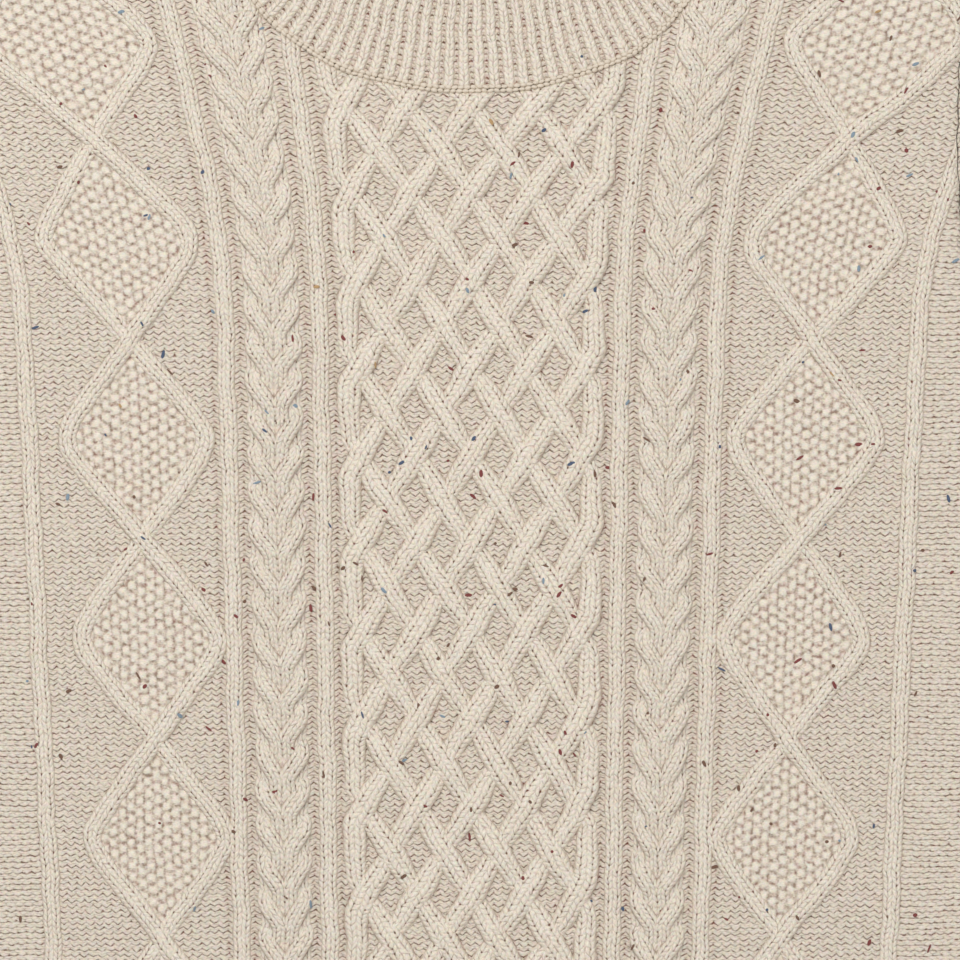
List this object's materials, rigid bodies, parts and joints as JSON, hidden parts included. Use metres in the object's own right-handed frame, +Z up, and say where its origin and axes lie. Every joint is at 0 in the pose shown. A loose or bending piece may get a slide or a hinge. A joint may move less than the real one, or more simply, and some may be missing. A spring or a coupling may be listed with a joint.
{
  "type": "cable knit sweater",
  "caption": "Cable knit sweater with a ribbed mock neck, lattice and horseshoe cables and moss diamonds, laid flat on its back panel with its sleeves spread.",
  "frame": {"origin": "on the surface under the middle of the garment's length, on its centre line", "axes": "+X across the chest towards the picture's right, +Y from the hem towards the neck, +Z up from the surface that the sweater lies on"},
  "size_m": [1.3196, 0.681, 0.0097],
  "materials": {
    "body_knit": "oatmeal nep yarn in cables, ribs and moss stitch",
    "sleeve_knit": "oatmeal nep yarn in ribs and a horseshoe cable",
    "collar_rib": "oatmeal nep yarn in one-by-one rib"
  },
  "bodies": {
    "root": {"front": "body_knit", "back": "body_knit", "sleeve_right": "sleeve_knit", "sleeve_left": "sleeve_knit", "collar": "collar_rib"}
  },
  "joints": []
}
